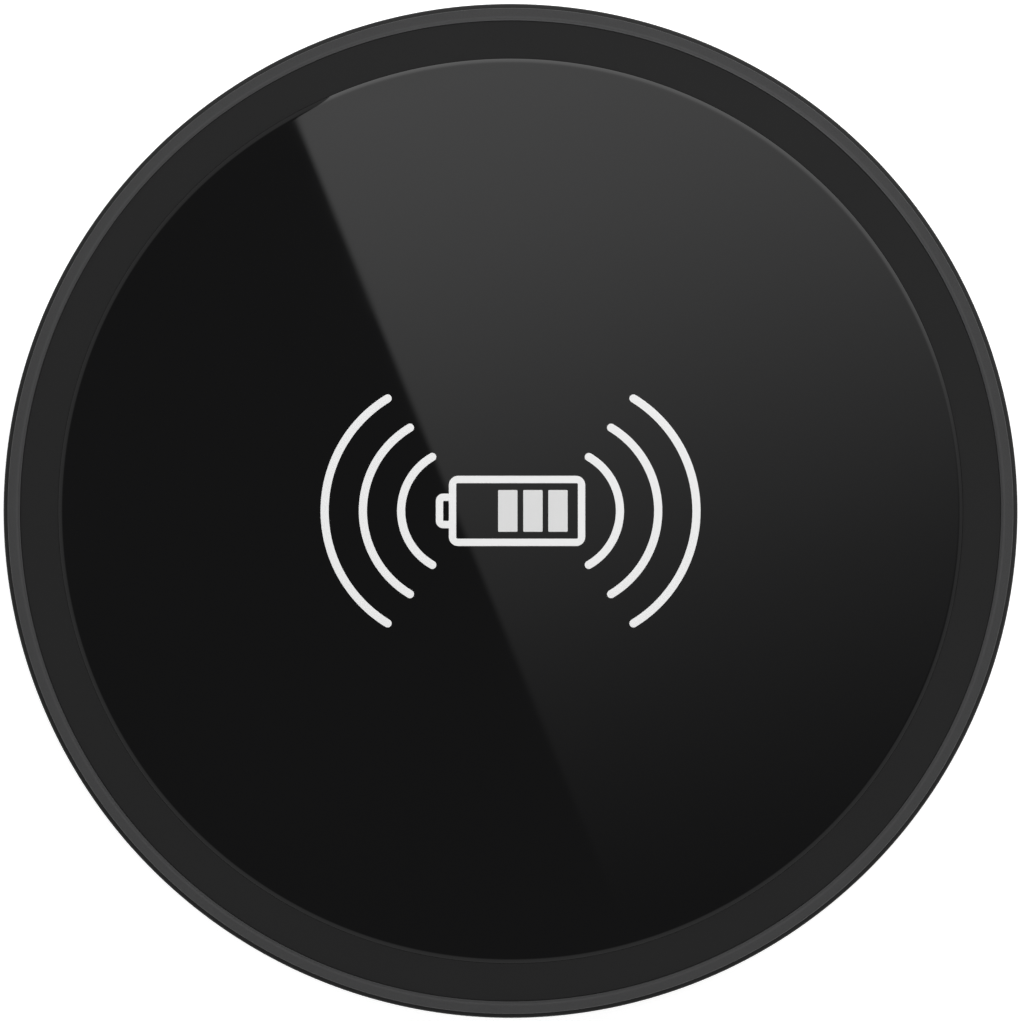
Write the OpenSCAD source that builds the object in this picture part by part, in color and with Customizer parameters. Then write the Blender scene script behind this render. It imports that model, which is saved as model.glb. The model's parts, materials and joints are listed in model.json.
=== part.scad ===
// Round wireless charging pad: glass top in a metal-trimmed case, with its coil and electronics.
// Millimetres, +Z up. The origin is on the table under the pad's centre, and +Y points to the
// USB-C inlet at the rear.

/* [Case] */
// Outside diameter of the case
pad_d = 100; // [98:0.5:104]
// Height from the table to the top of the printed symbol
pad_h = 10; // [9.8:0.1:11]
// Thickness of the case floor
floor_t = 1.4; // [1.3:0.1:1.6]
// Thickness of the case's side wall
wall_t = 1.8; // [1.6:0.1:2]
// Radius of the rounded lower edge of the case
edge_r = 4.4; // [4.2:0.1:4.6]

/* [Top] */
// Diameter of the glass panel
glass_d = 88.9; // [86.9:0.2:89.3]
// Thickness of the glass panel
glass_t = 1.1; // [1:0.05:1.2]
// Radius of the polished edge of the glass
glass_edge_r = 0.35; // [0.2:0.05:0.5]
// Depth of the matte bezel below the glass surface
bezel_drop = 0.12; // [0.08:0.02:0.2]
// Width of the case shoulder that shows outside the trim ring
shoulder_w = 0.48; // [0.3:0.02:0.6]
// Width of the trim ring seen from above
trim_w = 1.32; // [1.1:0.02:1.4]

/* [Printed symbol] */
// Thickness of the ink
ink_t = 0.02; // [0.02:0.01:0.05]
// Width of the lines of the arcs
arc_line = 0.8; // [0.6:0.05:1]
// Width of the lines of the battery outline
battery_line = 0.72; // [0.5:0.02:0.9]

/* [Feet and fasteners] */
// Height of the foot ring below the case
foot_proud = 0.8; // [0.7:0.1:0.9]
// Width of the foot ring
foot_w = 5; // [4.8:0.1:5.2]
// Radius of the circle of case screws
screw_circle_r = 40.5; // [40.3:0.1:40.7]

/* [Electronics] */
// Diameter of the circuit board
board_d = 85; // [84:0.5:86]
// Thickness of the circuit board
board_t = 1; // [0.8:0.1:1]
// Number of turns of the coil
coil_turns = 10; // [8:1:10]
// Diameter of the coil's stranded wire
wire_d = 1.1; // [1:0.05:1.1]
// Diameter of the ferrite disc
ferrite_d = 50; // [49:0.5:51]
// Thickness of the ferrite disc
ferrite_t = 1.5; // [1.3:0.1:1.5]

/* [Hidden] */
$fn = 96;
eps = 0.01;

// Radii, from the outside in
case_r = pad_d / 2;
trim_r = case_r - shoulder_w;
trim_in_r = trim_r - trim_w;
bezel_r = trim_in_r - 0.06;
glass_r = glass_d / 2;
glass_seat_r = glass_r + 0.08;
wall_in_r = case_r - wall_t;
skirt_r = case_r - 3.1;
skirt_t = 1.4;
trim_foot_r = skirt_r + 0.08;
foot_r = screw_circle_r + foot_w / 2;
label_r = 30;

// Heights, from the table up
case_z = foot_proud;
floor_z = case_z + floor_t;
board_z = floor_z + 1;
board_top = board_z + board_t;
ferrite_z = board_top + 0.2;
ferrite_top = ferrite_z + ferrite_t;
coil_z = ferrite_top + 0.1;
coil_top = coil_z + wire_d;

// Heights, from the top down
glass_top = pad_h - ink_t;
glass_z = glass_top - glass_t;
tape_t = 0.15;
seat_z = glass_z - tape_t;
web_z = seat_z - 0.8;
bezel_z = glass_top - bezel_drop;
trim_top = glass_top - 0.04;
shoulder_z = bezel_z - 1.68;

// Foot groove, label pocket and screws
groove_depth = 0.6;
foot_tape_t = 0.1;
label_pocket = 0.2;
screw_angles = [45, 135, 225, 315];
pedestal_z = board_z;
boss_r = 2.5;
screw_seat_z = case_z + groove_depth + 1.1;
board_screw_r = 38;
board_screw_angles = [20, 160, 250];

// USB-C receptacle: a mid-mount shell sunk in a cut-out at the board's rear edge
usb_w = 8.94;
usb_h = 3.16;
usb_skin = 0.3;
usb_len = 7.35;
usb_front = case_r - 0.75;
usb_rear = usb_front - usb_len;
usb_z = board_top + 1;
usb_legs_y = [usb_rear + 0.9, usb_rear + 3.8];

// Light pipe at the front
pipe_w = 5;
pipe_h = 1.3;
pipe_z = board_top + 0.7;
led_front = board_d / 2 - 0.2;

// Coil, in its own frame: the ferrite's slot runs along +X and takes the inner lead
coil_angle = -8;
coil_pitch = wire_d + 0.075;
coil_in_r = 10.8;
coil_out_r = coil_in_r + coil_turns * coil_pitch;
coil_mid = coil_z + wire_d / 2;
lead_mid = board_top + wire_d / 2 + 0.02;
lead_r = wire_d / 2 - 0.01;
bend_r = 1.3;
bend_len = 2.6;
outer_run = 13;
outer_end = outer_run + bend_len + 2.4;
inner_end = 29.5;
inner_y = -bend_len - bend_r;
slot_y = [inner_y - 0.9, 1.5];
slot_x = 8;
ntc_r = 0.12;
ntc_end = 28.5;

// ---------- Shared shapes ----------

// A copy of the children at each angle on a circle
module around(radius, angles) {
    for (a = angles)
        rotate(a) translate([radius, 0, 0]) children();
}

// A ring of rectangular section
module ring(r_in, r_out, z0, z1) {
    translate([0, 0, z0])
        linear_extrude(z1 - z0)
            difference() {
                circle(r_out);
                circle(r_in);
            }
}

// A bar with round ends: w along X, h along Z, from y0 to y1
module slot_bar(w, h, y0, y1) {
    translate([0, y1, 0])
        rotate([90, 0, 0])
            linear_extrude(y1 - y0) {
                square([w - h, h], center = true);
                for (s = [-1, 1])
                    translate([s * (w - h) / 2, 0]) circle(h / 2);
            }
}

// A box standing on the board, centred on its place and turned in plan
module on_board(x, y, size, turn = 0, lift = 0) {
    translate([x, y, board_top + lift + size[2] / 2])
        rotate(turn)
            cube(size, center = true);
}

// A quarter disc of radius r with its corner at the origin, filling +X and -Y
module quarter(r) {
    intersection() {
        circle(r);
        translate([0, -r]) square(r);
    }
}

// A rounded rectangle standing on the origin's XY plane
module round_rect(w, h, r) {
    square([w - 2 * r, h], center = true);
    square([w, h - 2 * r], center = true);
    for (x = [-1, 1], y = [-1, 1])
        translate([x * (w / 2 - r), y * (h / 2 - r)]) circle(r);
}

// A wire swept along its points as a closed tube
module thin_wire(points, r, sides = 8) {
    last = len(points) - 1;
    heading = [for (i = [0 : last])
        let (d = points[min(i + 1, last)] - points[max(i - 1, 0)]) d / norm(d)];
    rings = [for (i = [0 : last])
        let (side = cross([0, 0, 1], heading[i]), u = side / norm(side),
             v = cross(heading[i], u))
        for (k = [0 : sides - 1])
            points[i] + r * (cos(360 * k / sides) * u + sin(360 * k / sides) * v)];
    walls = [for (i = [0 : last - 1], k = [0 : sides - 1])
        let (a = i * sides + k, b = i * sides + (k + 1) % sides)
        [a, a + sides, b + sides, b]];
    ends = [[for (k = [0 : sides - 1]) k], [for (k = [sides - 1 : -1 : 0]) last * sides + k]];
    polyhedron(points = rings, faces = concat(walls, ends), convexity = 4);
}

// Points of an S-bend from height 0 down to -drop, over a length along +X
function s_bend(start, length, drop, steps = 8) =
    [for (i = [0 : steps])
        [start + length * i / steps, 0, -drop * (1 - cos(180 * i / steps)) / 2]];

// A screw on the origin, pointing up: head below z = 0, threaded shank above
module screw(head_r, head_h, shank_r, length) {
    pitch = shank_r * 0.55;
    root_r = shank_r * 0.78;
    threads = floor((length - shank_r) / pitch);
    profile = concat(
        [[0, -head_h], [head_r * 0.72, -head_h], [head_r, -head_h * 0.55], [head_r, 0],
         [root_r, 0]],
        [for (i = [0 : threads - 1], side = [0, 1])
            side == 0 ? [root_r, i * pitch + pitch * 0.25] : [shank_r, (i + 0.75) * pitch]],
        [[root_r, threads * pitch + pitch * 0.25], [0, length]]
    );
    difference() {
        rotate_extrude() polygon(profile);
        // Cross recess
        for (a = [0, 90])
            translate([0, 0, -head_h])
                rotate(a)
                    cube([head_r * 1.05, head_r * 0.26, head_h * 1.1], center = true);
    }
}

// The ferrite's slot, as a cutter from z0 to z1
module coil_slot(z0, z1) {
    rotate(coil_angle)
        translate([slot_x, slot_y[0], z0])
            cube([ferrite_d / 2, slot_y[1] - slot_y[0], z1 - z0]);
}

// ---------- Printed symbol ----------

// Arcs: [distance of the centre from the axis, radius of the line, half angle]
ARCS = [[4.63, 6.12, 60], [4.97, 9.54, 59], [5.31, 12.96, 58.5]];
battery_x = 0.64;
battery_size = [13.4, 6.9];
battery_corner = 0.9;
nub_size = [2, 3.4];
bar_size = [1.9, 4.1];
bar_x = [-0.27, 2.2, 4.66];

module arc_shape(centre, radius, half) {
    translate([centre, 0]) {
        intersection() {
            difference() {
                circle(radius + arc_line / 2);
                circle(radius - arc_line / 2);
            }
            polygon([[0, 0], for (a = [-half, -half / 2, 0, half / 2, half])
                1.3 * radius * [cos(a), sin(a)]]);
        }
        for (s = [-1, 1])
            rotate(s * half) translate([radius, 0]) circle(arc_line / 2);
    }
}

module arcs_shape() {
    for (side = [0, 180], a = ARCS)
        rotate(side) arc_shape(a[0], a[1], a[2]);
}

module frame_shape(size, corner, line) {
    difference() {
        round_rect(size[0], size[1], corner);
        square([size[0] - 2 * line, size[1] - 2 * line], center = true);
    }
}

module battery_shape() {
    translate([battery_x, 0]) {
        frame_shape(battery_size, battery_corner, battery_line);
        translate([-battery_size[0] / 2 - nub_size[0] / 2 + battery_line, 0])
            frame_shape(nub_size, battery_line, battery_line);
    }
}

module bars_shape() {
    for (x = bar_x)
        translate([x, 0]) square(bar_size, center = true);
}

module ink() {
    translate([0, 0, pad_h - ink_t]) linear_extrude(ink_t) children();
}

module battery_outline() {
    color("white") ink() battery_shape();
}

module charge_bars() {
    color([0.86, 0.86, 0.86]) ink() bars_shape();
}

module signal_arcs() {
    color("white") ink() arcs_shape();
}

// ---------- Top of the case ----------

module glass_panel() {
    color([0.07, 0.07, 0.07])
        rotate_extrude() {
            translate([0, glass_z + 0.15])
                square([glass_r, glass_t - glass_edge_r - 0.15]);
            translate([0, glass_z]) square([glass_r - 0.15, glass_t]);
            translate([0, glass_top - glass_edge_r])
                square([glass_r - glass_edge_r, glass_edge_r]);
            translate([glass_r - glass_edge_r, glass_top - glass_edge_r])
                mirror([0, 1]) quarter(glass_edge_r);
        }
}

module glass_adhesive() {
    color([0.9, 0.9, 0.86])
        translate([0, 0, seat_z]) cylinder(h = tape_t, r = glass_r - 0.6);
}

// The bezel, the web under the glass, the skirt, four screw bosses and the ribs between them
module top_shell() {
    rib_w = 0.8;
    guard_r = ferrite_d / 2 - 0.2;
    color([0.15, 0.15, 0.15])
        difference() {
            union() {
                rotate_extrude()
                    polygon([
                        [0, web_z], [skirt_r - skirt_t, web_z],
                        [skirt_r - skirt_t, web_z - 2], [skirt_r, web_z - 2],
                        [skirt_r, shoulder_z + 0.67], [bezel_r, shoulder_z + 0.67],
                        [bezel_r, bezel_z - 0.05], [bezel_r - 0.05, bezel_z],
                        [glass_seat_r + 0.05, bezel_z], [glass_seat_r, bezel_z - 0.05],
                        [glass_seat_r, seat_z], [0, seat_z],
                    ]);
                around(screw_circle_r, screw_angles)
                    translate([0, 0, pedestal_z + 0.05])
                        cylinder(h = web_z - pedestal_z, r = boss_r);
                around(screw_circle_r, screw_angles)
                    translate([0, -rib_w / 2, board_top + 0.8])
                        cube([skirt_r - skirt_t - screw_circle_r + eps, rib_w,
                              web_z - board_top - 0.8 + eps]);
                ring(guard_r - 1, guard_r, ferrite_top + 0.25, web_z + eps);
                for (a = [15 : 30 : 345])
                    rotate(a)
                        translate([guard_r - 0.5, -rib_w / 2, web_z - 0.55])
                            cube([skirt_r - skirt_t - guard_r + 0.6, rib_w, 0.55 + eps]);
            }
            around(screw_circle_r, screw_angles)
                translate([0, 0, pedestal_z]) cylinder(h = 4.25, r = 1);
            translate([0, 0, usb_z]) slot_bar(usb_w + 2, usb_h + 0.8, 40, case_r);
            rotate(coil_angle)
                translate([coil_out_r - 1.2, 4, coil_z - 1])
                    cube([2.4, 12, wire_d + 1.2]);
        }
}

// Metal ring clamped between the case's shoulder and the bezel, with a chamfered outer edge
module trim_ring() {
    foot_z = shoulder_z + 0.02;
    foot_top = shoulder_z + 0.65;
    crest_round = 0.24;
    chamfer_a = 41;
    crest_r = trim_in_r + crest_round * sin(chamfer_a);
    flat_r = crest_r + crest_round * sin(chamfer_a);
    flat_z = trim_top - crest_round * (1 - cos(chamfer_a));
    color([0.26, 0.26, 0.26])
        rotate_extrude()
            polygon(concat(
                [[trim_foot_r, foot_z], [trim_r, foot_z]],
                [[trim_r, flat_z - (trim_r - 0.08 - flat_r) * tan(chamfer_a) - 0.12],
                 [trim_r - 0.08, flat_z - (trim_r - 0.08 - flat_r) * tan(chamfer_a)]],
                [for (a = [chamfer_a : -chamfer_a / 5 : -chamfer_a - eps])
                    [crest_r + crest_round * sin(a), trim_top - crest_round * (1 - cos(a))]],
                [[trim_in_r, foot_top], [trim_foot_r, foot_top]]
            ));
}

// ---------- Bottom of the case ----------

module lower_profile() {
    inner_r = edge_r - 1.4;
    difference() {
        union() {
            translate([0, case_z]) square([case_r - edge_r, shoulder_z - case_z]);
            translate([0, case_z + edge_r])
                square([case_r, shoulder_z - case_z - edge_r - 0.15]);
            translate([0, shoulder_z - 0.15 - eps]) square([case_r - 0.15, 0.15 + eps]);
            translate([case_r - edge_r, case_z + edge_r]) quarter(edge_r);
        }
        translate([-eps, floor_z])
            square([wall_in_r - inner_r + eps, shoulder_z]);
        translate([-eps, floor_z + inner_r])
            square([wall_in_r + eps, shoulder_z]);
        translate([wall_in_r - inner_r, floor_z + inner_r]) quarter(inner_r);
    }
}

module lower_shell() {
    rib_w = 0.8;
    color([0.13, 0.13, 0.13])
        difference() {
            union() {
                rotate_extrude() lower_profile();
                // Pedestals over the case screws
                around(screw_circle_r, screw_angles)
                    translate([0, 0, case_z + groove_depth])
                        cylinder(h = pedestal_z - case_z - groove_depth, r = 3.1);
                // Stand-offs for the board screws
                around(board_screw_r, board_screw_angles)
                    translate([0, 0, case_z + 0.4])
                        cylinder(h = board_z - case_z - 0.4, r = 2.4);
                // Floor ribs
                ring(33, 33 + rib_w, floor_z - eps, floor_z + 0.5);
                ring(18, 18 + rib_w, floor_z - eps, floor_z + 0.5);
                for (a = [0 : 30 : 330])
                    rotate(a)
                        translate([18.4, -rib_w / 2, floor_z - eps])
                            cube([15, rib_w, 0.5 + eps]);
                // Ribs that centre the top shell's skirt
                for (a = [15 : 30 : 345])
                    rotate(a)
                        translate([skirt_r + 0.1, -rib_w / 2, floor_z + 3.3])
                            cube([wall_in_r - skirt_r, rib_w, 1.9]);
            }
            // Groove for the foot ring, and the label's pocket
            ring(foot_r - foot_w, foot_r, 0, case_z + groove_depth);
            translate([0, 0, 0]) cylinder(h = case_z + label_pocket, r = label_r + 0.2);
            // Counterbores and holes for the case screws
            around(screw_circle_r, screw_angles) {
                translate([0, 0, case_z]) cylinder(h = screw_seat_z - case_z, r = 2.1);
                translate([0, 0, case_z]) cylinder(h = pedestal_z, r = 1.1);
            }
            around(board_screw_r, board_screw_angles)
                translate([0, 0, case_z + 0.5]) cylinder(h = board_z, r = 0.78);
            // Inlet: a close opening round the receptacle, in a shallow seat for the plug's boot
            translate([0, 0, usb_z]) {
                slot_bar(usb_w + 0.36, usb_h + 0.34, case_r - 5, case_r + 1);
                slot_bar(12.6, 5.2, usb_front + 0.05, case_r + 1);
            }
            // Window for the light pipe
            translate([0, 0, pipe_z])
                slot_bar(pipe_w + 0.1, pipe_h + 0.1, -case_r - 1, -case_r + 4);
        }
}

module foot_ring() {
    in_r = foot_r - foot_w + 0.05;
    out_r = foot_r - 0.05;
    top_z = case_z + groove_depth - foot_tape_t;
    color([0.1, 0.1, 0.1])
        difference() {
            rotate_extrude()
                polygon([
                    [in_r, 0.25], [in_r + 0.1, 0.07], [in_r + 0.3, 0],
                    [out_r - 0.3, 0], [out_r - 0.1, 0.07], [out_r, 0.25],
                    [out_r, top_z], [in_r, top_z],
                ]);
            for (r = [in_r + foot_w / 3 - 0.2, in_r + foot_w * 2 / 3 - 0.2])
                ring(r, r + 0.4, -1, 0.25);
        }
}

module foot_adhesive() {
    top_z = case_z + groove_depth;
    color([0.9, 0.9, 0.86])
        ring(foot_r - foot_w + 0.3, foot_r - 0.3, top_z - foot_tape_t, top_z);
}

module rating_label() {
    color([0.2, 0.2, 0.2])
        translate([0, 0, case_z + label_pocket - 0.15]) cylinder(h = 0.15, r = label_r);
}

module case_screws() {
    color([0.2, 0.2, 0.21])
        around(screw_circle_r, screw_angles)
            translate([0, 0, screw_seat_z - 0.02]) screw(1.9, 1, 0.98, 4.6);
}

module light_pipe() {
    color([0.92, 0.92, 0.9])
        translate([0, 0, pipe_z]) {
            intersection() {
                slot_bar(pipe_w, pipe_h, -case_r - 1, -led_front - 0.4);
                translate([0, 0, -5]) cylinder(h = 10, r = case_r - 0.05);
            }
            slot_bar(pipe_w + 1.4, pipe_h + 0.6, 0.55 - wall_in_r, 1.45 - wall_in_r);
        }
}

// ---------- Circuit board ----------

module circuit_board() {
    tab_w = 16;
    tab_end = case_r - 3.8;
    color([0.06, 0.28, 0.16])
        translate([0, 0, board_z])
            linear_extrude(board_t)
                difference() {
                    union() {
                        circle(board_d / 2);
                        translate([-tab_w / 2, tab_end - 12]) square([tab_w, 12]);
                    }
                    around(screw_circle_r, screw_angles) circle(3.2);
                    around(board_screw_r, board_screw_angles) circle(0.95);
                    translate([-usb_w / 2 - 0.15, usb_rear - 0.1])
                        square([usb_w + 0.3, case_r]);
                    for (s = [-1, 1], y = usb_legs_y)
                        translate([s * (usb_w / 2 + 0.62), y]) square([0.5, 1], center = true);
                }
}

module board_screws() {
    color([0.75, 0.75, 0.77])
        around(board_screw_r, board_screw_angles)
            translate([0, 0, board_top])
                rotate([180, 0, 0]) screw(1.6, 0.8, 0.75, board_t + 1 + floor_t - 0.55);
}

// ---------- USB-C receptacle ----------

module usb_shell() {
    color([0.78, 0.78, 0.8]) {
        translate([0, 0, usb_z])
            difference() {
                slot_bar(usb_w, usb_h, usb_rear, usb_front);
                slot_bar(usb_w - 2 * usb_skin, usb_h - 2 * usb_skin, usb_rear - 1, usb_front + 1);
            }
        // Feet on the board, with a leg through it at each
        for (s = [-1, 1], y = usb_legs_y) {
            translate([s * (usb_w / 2 + 0.215), y, board_top + 0.15])
                cube([1.27, 0.9, 0.3], center = true);
            translate([s * (usb_w / 2 + 0.62), y, board_z + board_t / 2])
                cube([0.3, 0.8, board_t + 0.4], center = true);
        }
    }
}

module usb_tongue() {
    color([0.08, 0.08, 0.08])
        translate([0, 0, usb_z]) {
            slot_bar(usb_w - 2 * usb_skin - 0.04, usb_h - 2 * usb_skin - 0.04,
                     usb_rear, usb_rear + 1.1);
            translate([-6.69 / 2, usb_rear + 1, -0.35]) cube([6.69, 5.3, 0.7]);
        }
}

module usb_contacts() {
    color([0.86, 0.68, 0.3])
        for (i = [0 : 11]) {
            x = (i - 5.5) * 0.5;
            for (side = [-1, 1])
                translate([x, usb_rear + 4.2, usb_z + side * 0.38])
                    cube([0.28, 3.9, 0.06], center = true);
            translate([x, usb_rear - 0.65, board_top + 0.08])
                cube([0.28, 1.1, 0.16], center = true);
        }
}

// ---------- Parts on the board ----------

// A leadless package with a row of pads along each side
module flat_package(x, y, w, h, pads) {
    on_board(x, y, [w, w, h - 0.05], lift = 0.05);
    for (a = [0 : 90 : 270], i = [0 : pads - 1])
        translate([x, y, board_top])
            rotate(a)
                translate([w / 2 - 0.35, (i - (pads - 1) / 2) * (w - 0.8) / (pads - 1) - 0.1, 0])
                    cube([0.4, 0.2, 0.1]);
}

// A package with bent leads on two sides
module leaded_package(x, y, w, l, h, leads, turn = 0) {
    translate([x, y, board_top])
        rotate(turn) {
            translate([-w / 2, -l / 2, 0.12]) cube([w, l, h - 0.12]);
            for (s = [0, 180], i = [0 : leads - 1])
                rotate(s)
                    translate([w / 2 - 0.1, (i - (leads - 1) / 2) * l / leads - 0.18, 0]) {
                        translate([0, 0, h * 0.4]) cube([0.5, 0.36, 0.16]);
                        translate([0.34, 0, 0]) cube([0.16, 0.36, h * 0.4 + 0.16]);
                        translate([0.34, 0, 0]) cube([0.66, 0.36, 0.16]);
                    }
        }
}

// A two-terminal block: a body with a slightly larger cap on each end
module capped_block(x, y, l, w, h, turn = 0) {
    cap = l * 0.2;
    translate([x, y, board_top])
        rotate(turn) {
            translate([-l / 2 + cap / 2, -w / 2, 0.03]) cube([l - cap, w, h - 0.06]);
            for (s = [-1, 1])
                translate([s * (l - cap) / 2 - cap / 2, -w / 2 - 0.03, 0])
                    cube([cap, w + 0.06, h]);
        }
}

module controller_chip() {
    color([0.09, 0.09, 0.1]) flat_package(-33, -2, 5, 0.85, 8);
}

module protocol_chip() {
    color([0.09, 0.09, 0.1]) leaded_package(-11.5, 33.5, 3.9, 4.9, 1.45, 4);
}

module power_transistors() {
    color([0.09, 0.09, 0.1])
        for (i = [0 : 3])
            flat_package(13.5 + 4.4 * (i % 2), 34.5 - 4.4 * floor(i / 2), 3.3, 0.85, 4);
}

module resonant_capacitors() {
    color([0.45, 0.3, 0.2])
        for (i = [0 : 3])
            capped_block(34, 7.4 - 4.1 * i, 4.5, 3.2, 2.2);
}

module inductor_core() {
    color([0.2, 0.2, 0.21])
        translate([-28.5, 17, board_top]) {
            translate([-3, -3, 0]) cube([6, 6, 0.7]);
            translate([0, 0, 0.7 - eps]) cylinder(h = 1.6 + 2 * eps, r = 1.5);
            translate([-3, -3, 2.3]) cube([6, 6, 0.7]);
        }
}

module inductor_winding() {
    color([0.72, 0.36, 0.2])
        translate([-28.5, 17, board_top])
            for (i = [0 : 4])
                translate([0, 0, 0.87 + 0.315 * i])
                    rotate_extrude()
                        for (layer = [0 : 3])
                            translate([1.72 + 0.31 * layer, 0]) circle(0.15);
}

module input_capacitors() {
    color([0.55, 0.42, 0.3])
        for (i = [0 : 2])
            capped_block(3, 37.6 - 2.6 * i, 3.2, 1.6, 1.6);
}

// Small parts: [x, y, turn]
RESISTORS = [
    [-27.6, -4.5, 0], [-27.6, -2.5, 0], [-27.6, -0.5, 0], [-33, -7.6, 90], [-31, -7.6, 90],
    [-35, -7.6, 90], [-6, 30.5, 0], [-6, 32.5, 0], [9, 30.5, 90], [11, 28.2, 0],
    [-4, -38.4, 0], [4, -38.4, 0], [8, -36, 30], [-8, -36, -30], [29, -14.5, 90],
    [31, -14.5, 90],
];
CAPACITORS = [
    [-38.2, -3.5, 90], [-38.2, -0.5, 90], [-29.5, 3.6, 0], [-33, 3.6, 0], [-36.5, 3.6, 0],
    [-6, 34.5, 0], [-6, 36.5, 0], [-17, 31, 90], [21.5, 34, 90], [23, 27.5, 45],
    [27, -18, 60], [-20, -30, 45], [-22, -28, 45], [16, -31.5, 0],
];

module chip_resistors() {
    color([0.12, 0.12, 0.12])
        for (p = RESISTORS)
            capped_block(p[0], p[1], 1.6, 0.8, 0.45, p[2]);
}

module chip_capacitors() {
    color([0.62, 0.48, 0.34])
        for (p = CAPACITORS)
            capped_block(p[0], p[1], 1.6, 0.8, 0.8, p[2]);
}

module current_shunt() {
    color([0.14, 0.14, 0.15]) capped_block(22.5, 24.5, 6.3, 3.1, 0.6, -42);
}

module voltage_regulator() {
    color([0.09, 0.09, 0.1]) leaded_package(-19.5, 27, 1.6, 2.9, 1.1, 3, 45);
}

module crystal() {
    color([0.8, 0.8, 0.82]) {
        on_board(-33, 8.5, [3.2, 2.5, 0.7]);
        on_board(-33, 8.5, [2.8, 2.1, 0.12], lift = 0.7);
    }
}

module status_leds() {
    color([0.95, 0.93, 0.8])
        for (s = [-1, 1])
            translate([s * 1.3, 0.5 - led_front, board_top]) {
                translate([-0.8, 0.1, 0]) cube([1.6, 0.5, 1.2]);
                translate([0, 0.1 + eps, 0.7])
                    rotate([90, 0, 0]) cylinder(h = 0.4, r = 0.42);
            }
}

// ---------- Coil and ferrite ----------

module ferrite_adhesive() {
    color([0.9, 0.9, 0.86])
        difference() {
            translate([0, 0, board_top])
                cylinder(h = ferrite_z - board_top, r = ferrite_d / 2 - 0.5);
            coil_slot(board_top - 1, ferrite_z + 1);
        }
}

module ferrite_disc() {
    color([0.22, 0.22, 0.23])
        difference() {
            translate([0, 0, ferrite_z]) cylinder(h = ferrite_t, r = ferrite_d / 2);
            coil_slot(ferrite_z - 1, ferrite_top + 1);
        }
}

module coil_adhesive() {
    color([0.85, 0.78, 0.5])
        difference() {
            ring(coil_in_r - 1, coil_out_r + 0.9, ferrite_top, coil_z);
            coil_slot(ferrite_top - 1, coil_z + 1);
        }
}

// A flat spiral of half turns whose radius grows by half a pitch each, with its two leads
module transmitter_coil() {
    color([0.78, 0.45, 0.24])
        rotate(coil_angle) {
            for (k = [0 : 2 * coil_turns - 1])
                translate([k % 2 * coil_pitch / 2, 0, coil_mid])
                    rotate(180 * (k % 2))
                        rotate_extrude(angle = 180)
                            translate([coil_in_r + k * coil_pitch / 2, 0]) circle(wire_d / 2);
            translate([coil_out_r, 0, coil_mid])
                rotate(90)
                    thin_wire(concat(
                        [[-0.3, 0, 0], [outer_run / 2, 0, 0]],
                        s_bend(outer_run, bend_len, coil_mid - lead_mid),
                        [[outer_end, 0, lead_mid - coil_mid]]
                    ), lead_r, 16);
            translate([coil_in_r, 0, coil_mid])
                rotate(-90)
                    thin_wire(concat(
                        [[-0.3, 0, 0]],
                        s_bend(0, bend_len, coil_mid - lead_mid),
                        [for (a = [15 : 15 : 90])
                            [bend_len + bend_r * sin(a), bend_r * (1 - cos(a)),
                             lead_mid - coil_mid]],
                        [[-inner_y, inner_end - coil_in_r, lead_mid - coil_mid]]
                    ), lead_r, 16);
        }
}

// Film strips across the outer turns of the coil
module lead_tape() {
    color([0.8, 0.5, 0.1])
        for (a = [100, 220])
            rotate(a)
                translate([coil_out_r - 5, -2.5, coil_top + 0.01])
                    cube([6, 5, 0.06]);
}

module gap_pad() {
    color([0.55, 0.6, 0.66])
        difference() {
            ring(coil_in_r - 1.2, coil_out_r + 0.5, coil_top + 0.09, web_z - 0.01);
            for (a = [100, 220])
                rotate(a)
                    translate([coil_out_r - 5.1, -2.6, coil_top])
                        cube([8, 5.2, 0.1]);
        }
}

// ---------- Thermistor at the coil's centre ----------

module thermistor_bead() {
    color([0.15, 0.12, 0.1])
        translate([0, 0, web_z - 0.95]) sphere(0.85);
}

module thermistor_leads() {
    color([0.75, 0.75, 0.77])
        rotate(coil_angle)
            for (y = [0.55, 1.05])
                thin_wire([
                    [0.95, y - 0.8, web_z - 1], [3, y, web_z - 1.1], [7, y, coil_z + 0.35],
                    [8.6, y, ferrite_top - 0.1], [9.8, y, ferrite_top - 0.9],
                    [11.5, y, board_top + 0.3], [14, y, board_top + 0.16],
                    [ntc_end, y, board_top + 0.16],
                ], ntc_r);
}

// A dome of solder round the end of a coil lead that lies along +X and ends at the origin
module lead_joint() {
    difference() {
        translate([0.5, 0, 0]) cylinder(h = 1.25, r1 = 1.6, r2 = 0.8);
        translate([-3, 0, lead_mid - board_top])
            rotate([0, 90, 0]) cylinder(h = 3, d = wire_d);
    }
}

module solder_joints() {
    color([0.8, 0.8, 0.82])
        rotate(coil_angle)
            translate([0, 0, board_top]) {
                translate([coil_out_r, outer_end, 0]) rotate(90) lead_joint();
                translate([inner_end, inner_y, 0]) lead_joint();
                for (y = [0.1, 1.5])
                    translate([ntc_end + 0.5, y, 0]) cylinder(h = 0.4, r1 = 0.5, r2 = 0.25);
            }
}

glass_panel();
battery_outline();
charge_bars();
signal_arcs();
glass_adhesive();
top_shell();
trim_ring();
lower_shell();
foot_ring();
foot_adhesive();
rating_label();
case_screws();
light_pipe();
circuit_board();
board_screws();
usb_shell();
usb_tongue();
usb_contacts();
controller_chip();
protocol_chip();
power_transistors();
resonant_capacitors();
inductor_core();
inductor_winding();
input_capacitors();
chip_resistors();
chip_capacitors();
current_shunt();
voltage_regulator();
crystal();
status_leds();
ferrite_adhesive();
ferrite_disc();
coil_adhesive();
transmitter_coil();
lead_tape();
gap_pad();
thermistor_bead();
thermistor_leads();
solder_joints();
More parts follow.
